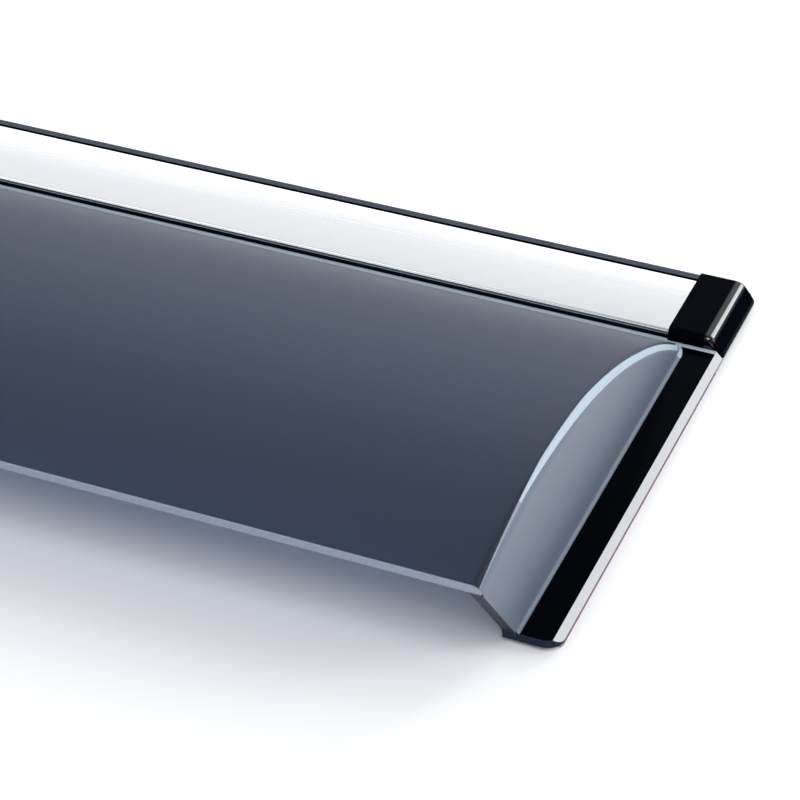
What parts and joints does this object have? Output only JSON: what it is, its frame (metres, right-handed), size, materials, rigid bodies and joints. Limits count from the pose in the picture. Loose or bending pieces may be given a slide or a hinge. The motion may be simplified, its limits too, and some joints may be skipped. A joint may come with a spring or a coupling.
{
  "type": "window rain deflector",
  "caption": "Smoked acrylic rain and wind deflector for a car side window, with a curved shade, bright top trim, black end caps and taped flanges.",
  "frame": {"origin": "middle of the part's outline on the plane of the release liners, which lies against the door", "axes": "+X along the door, +Y up the door from the free edge to the bright trim, +Z out from the door"},
  "size_m": [0.71, 0.1207, 0.0272],
  "materials": {
    "smoked_acrylic": "polished smoked acrylic",
    "bright_stainless": "bright rolled stainless steel",
    "black_pvc": "satin",
    "gloss_black_abs": "gloss moulded",
    "black_foam_tape": "matt foam",
    "red_release_film": "thin film"
  },
  "bodies": {
    "root": {"shield": "smoked_acrylic", "bright_trim": "bright_stainless", "trim_core": "black_pvc", "end_cap_right": "gloss_black_abs", "end_cap_left": "gloss_black_abs", "upper_tape": "black_foam_tape", "end_right_tape": "black_foam_tape", "end_left_tape": "black_foam_tape", "upper_liner": "red_release_film", "end_right_liner": "red_release_film", "end_left_liner": "red_release_film"}
  },
  "joints": []
}
